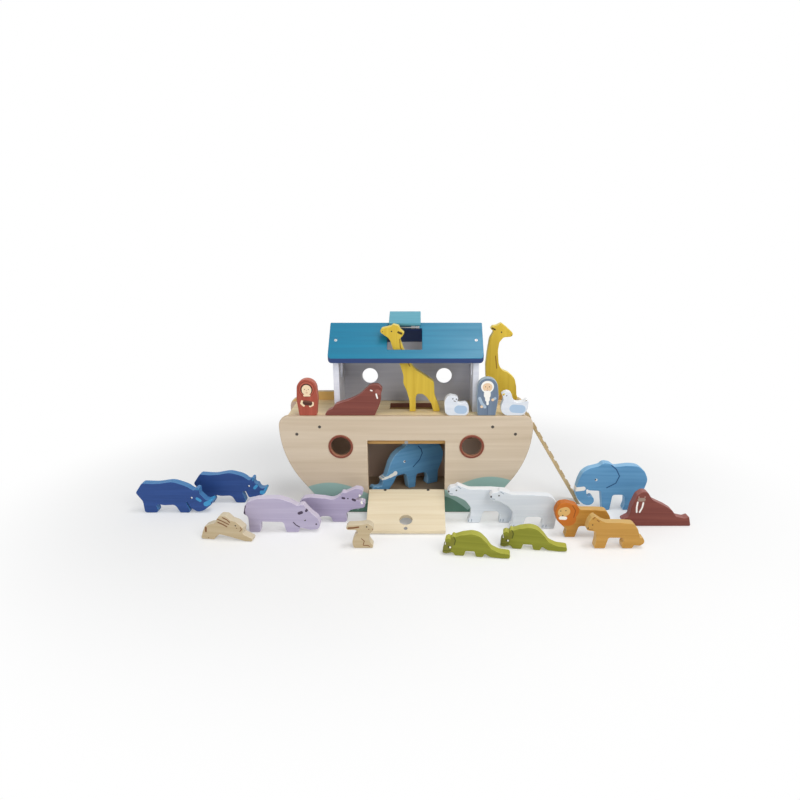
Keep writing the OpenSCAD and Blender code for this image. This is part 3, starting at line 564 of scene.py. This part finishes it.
zinc = plated_steel("zinc_plated_steel", "#B9BCC0", rough=0.35)
small_steel = (
    "door_rod", "roof_hinge_eyes", "lid_hinge_pin", "lid_hinge_eyes", "stop_magnet", "door_magnet")
for node in small_steel:
    dressed(node, zinc, ease=0.15, segments=2, least=0)
print("hinge, rod and magnets dressed")


# %% One screw head
def screw_head():
    # In millimetres: the head, the two blades that cut its recess, and its soft rim
    radius, depth = 2.5, 1.5
    length, thickness, height = 3, 0.6, 1.8
    rim = 0.25
    bpy.ops.object.select_all(action="DESELECT")
    bpy.ops.mesh.primitive_cylinder_add(
        vertices=40, radius=radius * MM, depth=depth * MM, location=(0, 0, -depth / 2 * MM))
    head = bpy.context.object
    bpy.ops.object.transform_apply(location=True, rotation=True, scale=True)
    for turn in (0, 90):
        bpy.ops.object.select_all(action="DESELECT")
        bpy.ops.mesh.primitive_cube_add(size=1, location=(0, 0, 0), rotation=(0, 0, math.radians(turn)))
        blade = bpy.context.object
        blade.scale = (length * MM, thickness * MM, height * MM)
        bpy.ops.object.transform_apply(location=True, rotation=True, scale=True)
        only(head)
        cut = head.modifiers.new("recess", "BOOLEAN")
        cut.object = blade
        bpy.ops.object.modifier_apply(modifier=cut.name)
        bpy.data.objects.remove(blade)
    soften = head.modifiers.new("rim", "BEVEL")
    soften.width = rim * MM
    soften.segments = 2
    soften.limit_method = "ANGLE"
    soften.angle_limit = math.radians(50)
    bpy.ops.object.modifier_apply(modifier=soften.name)
    bpy.ops.object.shade_smooth_by_angle(angle=math.radians(40))
    return head


print("screw head ready")


# %% Copies of a screw head
def screws(node, places, material):
    pattern = screw_head()
    copies = []
    for place, outward in places:
        head = bpy.data.objects.new(node + "_head", pattern.data.copy())
        bpy.context.scene.collection.objects.link(head)
        turn = Vector((0, 0, 1)).rotation_difference(Vector(outward)).to_matrix().to_4x4()
        head.data.transform(Matrix.Translation(Vector(place) * MM) @ turn)
        copies.append(head)
    bpy.data.objects.remove(pattern)
    bpy.ops.object.select_all(action="DESELECT")
    for head in copies:
        head.select_set(True)
    bpy.context.view_layer.objects.active = copies[0]
    bpy.ops.object.join()
    joined = bpy.context.object
    joined.name = node + "_piece"
    stands_for(joined, node, material)


print("screw heads can be set")

# %% Screws in the hull
dark_steel = plated_steel("blackened_steel", "#4A423C", rough=0.5)
# Two screws near each end of a side panel: how far from the middle, and how far above the ground
hull_points = ((172.4, 135), (136, 147))
hull_half_width = 52
hull_places = []
for side in (-1, 1):
    for end in (-1, 1):
        for x, z in hull_points:
            hull_places.append(((end * x, side * hull_half_width, z), (0, side, 0)))
screws("hull_screws", hull_places, dark_steel)
print("hull screws set:", len(hull_places))

# %% Screws in the roof
white_steel = plated_steel("white_painted_steel", "#E9EEF2", rough=0.45)
# The roof's screws go into the gables, halfway from the ridge to the eaves
gable_x = 109.5
pitch = math.radians(42)
ridge_y, ridge_z, run = 7, 301.82, 52
roof_places = []
for side in (-1, 1):
    for end in (-1, 1):
        halfway = (end * gable_x, ridge_y + side * run / 2, ridge_z - run / 2 * math.tan(pitch))
        roof_places.append((halfway, (0, side * math.sin(pitch), math.cos(pitch))))
screws("roof_screws", roof_places, white_steel)
print("roof screws set:", len(roof_places))

# %% Screws in the door
# They hold the rod, and stand on the top of the lowered door, above the rod's line
screw_x = 35
fall = math.radians(21.38)
upward = Vector((0, -math.sin(fall), math.cos(fall)))
rod_line = Vector((0, -48.5, 35.6))
half_thickness = 3.5
on_door = rod_line + upward * half_thickness
door_places = [((end * screw_x, on_door.y, on_door.z), upward) for end in (-1, 1)]
screws("door_screws", door_places, dark_steel)
print("door screws set:", len(door_places))

# %% [markdown]
# ## Painted figures
# Each figure is sawn from a beech board about 14 mm thick and stained, so that its grain shows.
# The edges are coloured lighter than the broad faces: the stain is thinner on the sanded edges,
# and the lighter colour is also a painted highlight where light catches them. Eyes, ears and
# clothes are painted with a brush. A mark is a stroke: a paint, a brush radius and a line of
# points, in millimetres from the figure's lower left corner. Later strokes lie over earlier ones.

# %% Strokes of paint
INK = "#2A2422"
WHITE = "#F4F2EC"
# In millimetres: half the width of a stroke's soft edge, and the radius from which a brush is wide
BLUR = 0.15
WIDE = 2


def stroke_distance(tree, flat, points):
    nearest = None
    ends = list(zip(points, points[1:])) or [(points[0], points[0])]
    for (ax, az), (bx, bz) in ends:
        reach = (bx - ax, 0, bz - az)
        size = reach[0] ** 2 + reach[2] ** 2
        away = add(tree, "VectorMath", {0: flat, 1: (ax, 0, az)}, operation="SUBTRACT")
        if size > 0:
            share = [part / size for part in reach]
            step = add(tree, "VectorMath", {0: away, 1: share}, "Value", operation="DOT_PRODUCT")
            held = add(tree, "Clamp", {0: step})
            along = add(tree, "VectorMath", {0: reach, "Scale": held}, operation="SCALE")
            away = add(tree, "VectorMath", {0: away, 1: along}, operation="SUBTRACT")
        far = add(tree, "VectorMath", {0: away}, "Value", operation="LENGTH")
        if nearest is None:
            nearest = far
        else:
            nearest = add(tree, "Math", {0: nearest, 1: far}, operation="MINIMUM")
    return nearest


print("a stroke is measured from its line")


# %% Stain a figure
def stained_figure(node, place, stain, marks, turn=0, along=0, ease=1.1):
    face, shade, lit_thin_edge = stain
    wood = start_wood(
        "stained_beech_" + node, rough=0.48, band=6.0, along=along, gloss=0.25, place=place, turn=turn)
    tree = wood.tree
    colour = streaked(wood, face, shade, high=0.72)
    outward = (math.sin(math.radians(turn)), -math.cos(math.radians(turn)), 0)
    facing = add(tree, "VectorMath", {0: wood.normal, 1: outward}, "Value", operation="DOT_PRODUCT")
    broad = add(tree, "Math", {0: facing}, operation="ABSOLUTE")
    on_face = add(tree, "MapRange", {"Value": broad, "From Min": 0.5, "From Max": 0.85})
    # Edges take the lighter colour: thinner stain on sanded wood, and a painted highlight where light
    # catches them
    colour = add(tree, "Mix", {SHARE: on_face, FIRST: linear(lit_thin_edge), SECOND: colour}, MIXED,
                 data_type="RGBA")
    # Strokes are measured in the plane of the broad faces
    flat = add(tree, "VectorMath", {0: wood.local, 1: (1, 0, 1)}, operation="MULTIPLY")
    for paint, radius, points in marks:
        far = stroke_distance(tree, flat, points)
        painted = add(tree, "MapRange", {
            "Value": far, "From Min": radius + BLUR, "From Max": radius - BLUR})
        if radius < WIDE and paint != WHITE:
            # Fine strokes stay on the broad faces, wide and white ones go round the edges too
            painted = add(tree, "Math", {0: painted, 1: on_face}, operation="MULTIPLY")
        colour = add(tree, "Mix", {SHARE: painted, FIRST: colour, SECOND: linear(paint)}, MIXED,
                     data_type="RGBA")
    dressed(node, finish_wood(wood, colour, relief=0.05), ease=ease, least=0, weld=0.3)


print("figures can be stained")

# %% [markdown]
# ## People
# Two plain standing boards with rounded heads. The face, the hood, the beard and the bowl are
# only painted. The faces are simple dots and lines, as on any such toy.

# %% Bearded man
SKIN = "#E6C8A6"
SLEEVE = "#A9BBCD"
man = [
    (WHITE, 9.4, [(15.6, 46.4), (16.6, 46.4)]),  # hair
    (SKIN, 6.6, [(15.2, 45.6), (17, 45.6)]),  # face
    (WHITE, 5.2, [(16.1, 36), (16.1, 33)]),  # beard
    (WHITE, 3.6, [(16.2, 31), (16.6, 26)]),  # beard
    (WHITE, 1.9, [(16.8, 23), (17, 19)]),  # tip of the beard
    (INK, 0.75, [(13.2, 46.4)]),  # eye
    (INK, 0.75, [(19, 46.4)]),  # eye
    ("#C9A07C", 0.45, [(16.1, 45.4), (16.1, 43.2)]),  # nose
    ("#B06A58", 0.45, [(14.9, 40.9), (17.3, 40.9)]),  # mouth
    (SLEEVE, 2.3, [(4.5, 28), (8, 20), (13, 14)]),  # sleeve
    (SLEEVE, 2.0, [(28.5, 28), (25.5, 26)]),  # sleeve
    (SKIN, 2.2, [(8, 14.5)]),  # hand
    (SKIN, 2.2, [(25, 25.6)]),  # hand
    ("#54657C", 0.6, [(17, 16), (17, 2)]),  # opening of the robe
]
stained_figure("bearded_man", (110, -43, DECK), ("#76869A", "#66778C", "#A7B8C2"), man, along=2)
print("man painted")

# %% Woman with a bowl
CREAM = "#EDD6B2"
woman = [
    ("#7E3528", 12.4, [(16.5, 42.6)]),  # edge of the hood
    ("#B05A47", 11.4, [(16.5, 42.6)]),  # hood
    ("#4A2318", 9.4, [(16.5, 42)]),  # hair
    (CREAM, 7.4, [(16.5, 42), (16.5, 40.6)]),  # face
    (CREAM, 1.6, [(12.5, 32.6), (20.5, 32.6)]),  # collar
    (INK, 0.7, [(13.6, 42.4)]),  # eye
    (INK, 0.7, [(19.4, 42.4)]),  # eye
    ("#CBA07E", 0.4, [(16.5, 41.2), (16.5, 39.4)]),  # nose
    ("#B5604F", 0.45, [(15.3, 36.8), (17.7, 36.8)]),  # mouth
    (CREAM, 1.9, [(8.6, 23), (7.6, 19.6), (10.8, 16.6)]),  # arm
    (CREAM, 1.9, [(25, 20.5), (24.6, 17.4), (20.8, 15.6)]),  # arm
    ("#4A2A22", 3.8, [(13.2, 21), (20.6, 20)]),  # bowl
    ("#6B4436", 1.3, [(12, 23.2), (21.4, 22.2)]),  # rim of the bowl
]
stained_figure("woman_with_bowl", (-170, -43, DECK), ("#AE5644", "#9A4737", "#BC6A58"), woman, along=2)
print("woman painted")

# %% [markdown]
# ## Animals on deck
# The giraffes' long grain runs up their necks, where the board would otherwise snap. The doves
# are almost white with a pale blue wing.

# %% Giraffes
BARK = "#8A6420"
EAR = "#4A3A1A"
GIRAFFE = ("#DCBE45", "#CBAA35", "#E6D06A")
giraffe = [
    (INK, 1.1, [(18.1, 128.4)]),  # eye
    (INK, 0.7, [(4.3, 128)]),  # nostril
    (EAR, 1.7, [(28.6, 127), (33, 125)]),  # ear
    (BARK, 0.8, [(30.6, 116), (31.5, 104), (38, 88), (46, 74)]),  # line of the mane
]
stained_figure("giraffe_in_house", (-40, -20.5, DECK), GIRAFFE, giraffe, along=2)
giraffe_back = [
    (INK, 1.2, [(25.6, 121.4)]),  # eye
    (EAR, 1.3, [(10.4, 127.8), (15, 125.6)]),  # ear
    (INK, 0.7, [(42, 116.6)]),  # nostril
    (BARK, 0.8, [(17.4, 83), (18.6, 74), (20, 63)]),  # line of the mane
]
stained_figure("giraffe_on_deck", (126, 14, DECK), GIRAFFE, giraffe_back, along=2, ease=0.9)
print("giraffes painted")

# %% Doves
WING = "#A9C1DA"
DOVE = ("#E2E6EC", "#D5DBE4", "#F0F3F6")
dove_turned = [
    (WING, 6.6, [(22, 10), (29, 9.6)]),  # wing
    (INK, 1.0, [(12.9, 27.2)]),  # eye
    (INK, 1.0, [(18.4, 26.6)]),  # eye
    ("#6E6A66", 0.7, [(14.6, 24), (17, 23)]),  # beak
]
stained_figure("dove_by_house", (60, -43, DECK), DOVE, dove_turned, ease=0.9)
dove = [
    (WING, 6.6, [(20, 11.5), (32, 10.5)]),  # wing
    ("#E2C24A", 1.5, [(0.6, 34), (4, 34.6)]),  # beak
    (INK, 0.8, [(3.6, 33.2)]),  # nostril
    (INK, 0.9, [(8.3, 32.3)]),  # eye
    ("#8E7A45", 0.8, [(33, 22.6), (40, 25)]),  # line of the tail
]
stained_figure("dove_on_deck", (148, -43, DECK), DOVE, dove, ease=0.9)
print("doves painted")

# %% Walruses
WALRUS = ("#84493F", "#713B34", "#9A625A")
walrus = [
    ("#95584F", 3.6, [(83, 39), (86, 37)]),  # muzzle
    (WHITE, 1.0, [(72.6, 41), (74.6, 40.2)]),  # eye
    (WHITE, 1.2, [(81.1, 34.7), (82.7, 28.4)]),  # tusk
]
stained_figure("walrus_on_deck", (-127, -43, DECK), WALRUS, walrus)
walrus_up = [
    ("#9C8678", 3.0, [(13.4, 45), (19.6, 45)]),  # muzzle
    ("#C9A79A", 0.9, [(12, 49.4)]),  # eye
    ("#C9A79A", 0.9, [(21.4, 49.4)]),  # eye
    (WHITE, 1.3, [(11, 40.6), (10.2, 32), (11, 24)]),  # tusk
    (WHITE, 1.3, [(19.7, 39.7), (18.9, 32), (15.7, 24)]),  # tusk
]
stained_figure("walrus_on_ground", (348, -95, 0), WALRUS, walrus_up, ease=0.9)
print("walruses painted")

# %% [markdown]
# ## Animals on the ground
# Every pair shares a stain. The marks follow what the picture shows of each animal, such as the
# elephant's ear and tusk, the rhino's pale horns and the lion's mane.

# %% Elephants
CREASE = "#27507E"
ELEPHANT = ("#68A1CB", "#578EBB", "#8BBCDF")
elephant = [
    (CREASE, 0.9, [(55.7, 79), (64, 72), (69.9, 60.4), (65, 48), (51, 40)]),  # edge of the ear
    (WHITE, 2.0, [(32.6, 54)]),  # eye
    (INK, 1.3, [(31.6, 54.2)]),  # pupil
    (WHITE, 3.6, [(13, 38.4), (6, 37.6), (-2, 37)]),  # tusk
]
stained_figure("elephant_on_ground", (276, -37, 0), ELEPHANT, elephant)
elephant_in = [
    (CREASE, 0.9, [(87.8, 72.3), (93, 66), (95.2, 58.7), (90, 48), (77.6, 37.4)]),  # edge of the ear
    (WHITE, 2.0, [(61.2, 50)]),  # eye
    (INK, 1.3, [(61.9, 50.2)]),  # pupil
    (WHITE, 4.0, [(43.4, 32.3)]),  # root of the tusk
    (WHITE, 3.0, [(43, 31.6), (34.2, 29)]),  # tusk
    (WHITE, 2.2, [(34, 28.8), (25, 27.2)]),  # tusk
    (WHITE, 1.4, [(25, 27), (18.6, 26)]),  # tip of the tusk
]
stained_figure("elephant_in_hold", (-60.5, -37.5, 24), ELEPHANT, elephant_in, turn=30)
print("elephants painted")

# %% Rhinos
HORN = "#4295C8"
INNER_EAR = "#3F7FB0"
RHINO = ("#2F5090", "#26437C", "#4C83B8")
rhino = [
    (HORN, 2.4, [(123, 28), (118, 20)]),  # horn
    (HORN, 3.6, [(116, 18.4), (113.6, 19)]),  # lip
    (HORN, 2.4, [(102, 27), (105.6, 31)]),  # patch before the eye
    (INNER_EAR, 1.5, [(101, 45), (100, 41)]),  # ear
    (WHITE, 1.3, [(93, 30.8)]),  # eye
    (INK, 0.9, [(91.4, 30.2)]),  # pupil
]
stained_figure("rhino_head_up", (-359, -8, 0), RHINO, rhino, ease=0.9)
rhino_low = [
    (HORN, 2.4, [(124.5, 25), (119, 20.4)]),  # horn
    (HORN, 4.0, [(116.6, 17.4), (112.4, 15.4)]),  # lip
    (HORN, 2.4, [(99, 25), (103.6, 21.6)]),  # patch before the eye
    (INNER_EAR, 1.5, [(98, 41.6), (103, 41.6)]),  # ear
    (WHITE, 1.3, [(90.5, 26.7)]),  # eye
    (INK, 0.9, [(88.8, 26)]),  # pupil
]
stained_figure("rhino_head_down", (-440, -47, 0), RHINO, rhino_low, ease=0.9)
print("rhinos painted")

# %% Hippos
PLUM = "#4A3F52"
hippo = [
    (PLUM, 2.4, [(85.2, 32), (88.8, 33.4)]),  # ear
    (PLUM, 1.9, [(96, 36), (98, 38.5)]),  # ear
    (INK, 1.4, [(93.4, 20.3)]),  # eye
    # The small white dot is a painted highlight in the eye
    (WHITE, 0.5, [(93, 20.9)]),  # glint in the eye
    (PLUM, 1.4, [(110.3, 13.7)]),  # nostril
    (PLUM, 0.9, [(75.6, 16.7), (79, 12.5), (84.1, 9.2)]),  # mouth
    (PLUM, 1.5, [(3.6, 44), (1.6, 37), (2, 30)]),  # tail
]
stained_figure("hippo_mouth_closed", (-247, -116, 0), ("#BBB3C9", "#AAA1BB", "#D0C9DB"), hippo)
hippo_open = [
    (PLUM, 1.8, [(70, 41.6), (72.4, 41)]),  # ear
    (INK, 1.2, [(78.2, 40.6)]),  # eye
    (PLUM, 2.0, [(86, 39), (89, 37.6)]),  # corner of the mouth
    (WHITE, 1.6, [(97, 46), (97.6, 44)]),  # upper tooth
    (WHITE, 1.6, [(99.4, 34), (100, 32.4)]),  # lower tooth
]
stained_figure("hippo_mouth_open", (-169.5, -81, 0), ("#B4AAC5", "#A298B5", "#CBC3D8"), hippo_open)
print("hippos painted")

# %% Rabbits
BRISTLE = "#7A4E2E"
RABBIT = ("#C6B595", "#B7A380", "#D6C9AE")
rabbit = [
    (INK, 1.1, [(55.5, 25)]),  # eye
    (BRISTLE, 0.8, [(57, 21)]),  # whisker
    (BRISTLE, 0.8, [(11.6, 2.4)]),  # hind foot
    (BRISTLE, 0.9, [(28.6, 34), (35, 31.6), (45, 26.6)]),  # ear
    (BRISTLE, 1.0, [(29, 29), (36, 26), (42, 22.6)]),  # ear
    (BRISTLE, 0.9, [(37, 37), (43, 34), (47, 30)]),  # ear
    (BRISTLE, 1.5, [(9, 19), (8.4, 13)]),  # tail
    (BRISTLE, 0.6, [(63, 22.6), (64.4, 19), (61.6, 16)]),  # mouth
]
stained_figure("rabbit_leaping", (-306, -137, 0), RABBIT, rabbit, turn=-7)
rabbit_sit = [
    (INK, 1.1, [(31, 34.4)]),  # eye
    (BRISTLE, 0.8, [(34, 30.6)]),  # whisker
    (BRISTLE, 0.8, [(39.4, 30.6)]),  # nose
    (BRISTLE, 1.3, [(4.4, 32.4), (12, 32.8), (19, 34)]),  # ear
    (BRISTLE, 0.6, [(23, 15.4), (27, 11.6), (25.4, 6)]),  # foreleg
    (BRISTLE, 0.6, [(25.4, 4.6), (32.6, 4.2), (34.4, 2.8)]),  # hind foot
]
stained_figure("rabbit_sitting", (-86, -166, 0), RABBIT, rabbit_sit)
print("rabbits painted")

# %% Polar bears
FROST = "#94A2B0"
BEAR = ("#DEE3E9", "#D1D8E0", "#EBEEF1")
bear = [
    (INK, 1.2, [(14.1, 55.8)]),  # eye
    (INK, 1.5, [(1.4, 54.8), (2, 53.6)]),  # nose
    (FROST, 0.6, [(16.6, 62), (21, 58.8)]),  # ear
    (FROST, 0.6, [(2, 50.4), (8, 50)]),  # mouth
    (FROST, 0.7, [(34, 2.6), (34.4, 6)]),  # claw
    (FROST, 0.7, [(38.6, 2.6), (39, 6)]),  # claw
    (FROST, 0.7, [(84, 2.6), (84.4, 6)]),  # claw
    (FROST, 0.7, [(88.6, 2.6), (89, 6)]),  # claw
]
stained_figure("polar_bear_rear", (64.5, -84, 0), BEAR, bear)
stained_figure("polar_bear_front", (128.5, -104, 0), BEAR, bear)
print("bears painted")

# %% Lizards
MOSS = "#565A1C"
LIZARD = ("#8F9130", "#7D7F24", "#B0B048")
lizard = [
    # The darker olive patch on the head is painted shade below the brow
    ("#75742A", 6.5, [(6, 8), (8, 14)]),  # head
    # The darker stroke by the frill is painted shade under the brow horn
    ("#7C7A2B", 3.0, [(14, 18), (15, 25)]),  # frill
    (WHITE, 1.5, [(11, 12.6)]),  # eye
    (INK, 1.2, [(9, 13)]),  # pupil
    (WHITE, 1.2, [(3.8, 17.6)]),  # horn
    (MOSS, 0.6, [(2, 7), (8, 6.4), (12, 8)]),  # mouth
    (MOSS, 0.8, [(16, 30), (18.6, 24), (17, 17)]),  # edge of the frill
]
stained_figure("lizard_front", (55, -185, 0), LIZARD, lizard, turn=-8, ease=0.9)
stained_figure("lizard_rear", (140, -165, 0), LIZARD, lizard, turn=-8, ease=0.9)
print("lizards painted")

# %% Lions
MANE = "#C26E22"
TAWNY = "#D9B06C"
FUR = "#8A5A28"
lion = [
    (MANE, 13.5, [(13, 43.5), (23, 43.5)]),  # mane
    (MANE, 11, [(12, 31), (22, 30)]),  # mane under the chin
    (TAWNY, 7.2, [(12, 41.4), (16, 42.6)]),  # face
    (WHITE, 2.8, [(9.6, 32), (16.4, 31.6)]),  # chin
    (INK, 1.1, [(12.4, 36)]),  # nose
    (INK, 0.9, [(9, 43.4)]),  # eye
    (INK, 0.9, [(16.6, 44)]),  # eye
    ("#8F4F18", 0.6, [(26, 52), (31, 44), (29, 33)]),  # edge of the mane
]
stained_figure("lion", (223, -132, 0), ("#C48F40", "#B27E32", "#D2A65F"), lion)
lioness = [
    (INK, 1.0, [(8, 38)]),  # eye
    (INK, 1.1, [(1.8, 33)]),  # nose
    (FUR, 0.8, [(8, 47.4), (10.2, 50)]),  # ear
    (FUR, 0.8, [(14, 45.6), (17, 43)]),  # ear
    (FUR, 0.5, [(3, 30.6), (9, 31.4)]),  # mouth
]
stained_figure("lioness", (263, -167, 0), ("#C6974C", "#B3843B", "#D5AE69"), lioness)
print("lions painted")
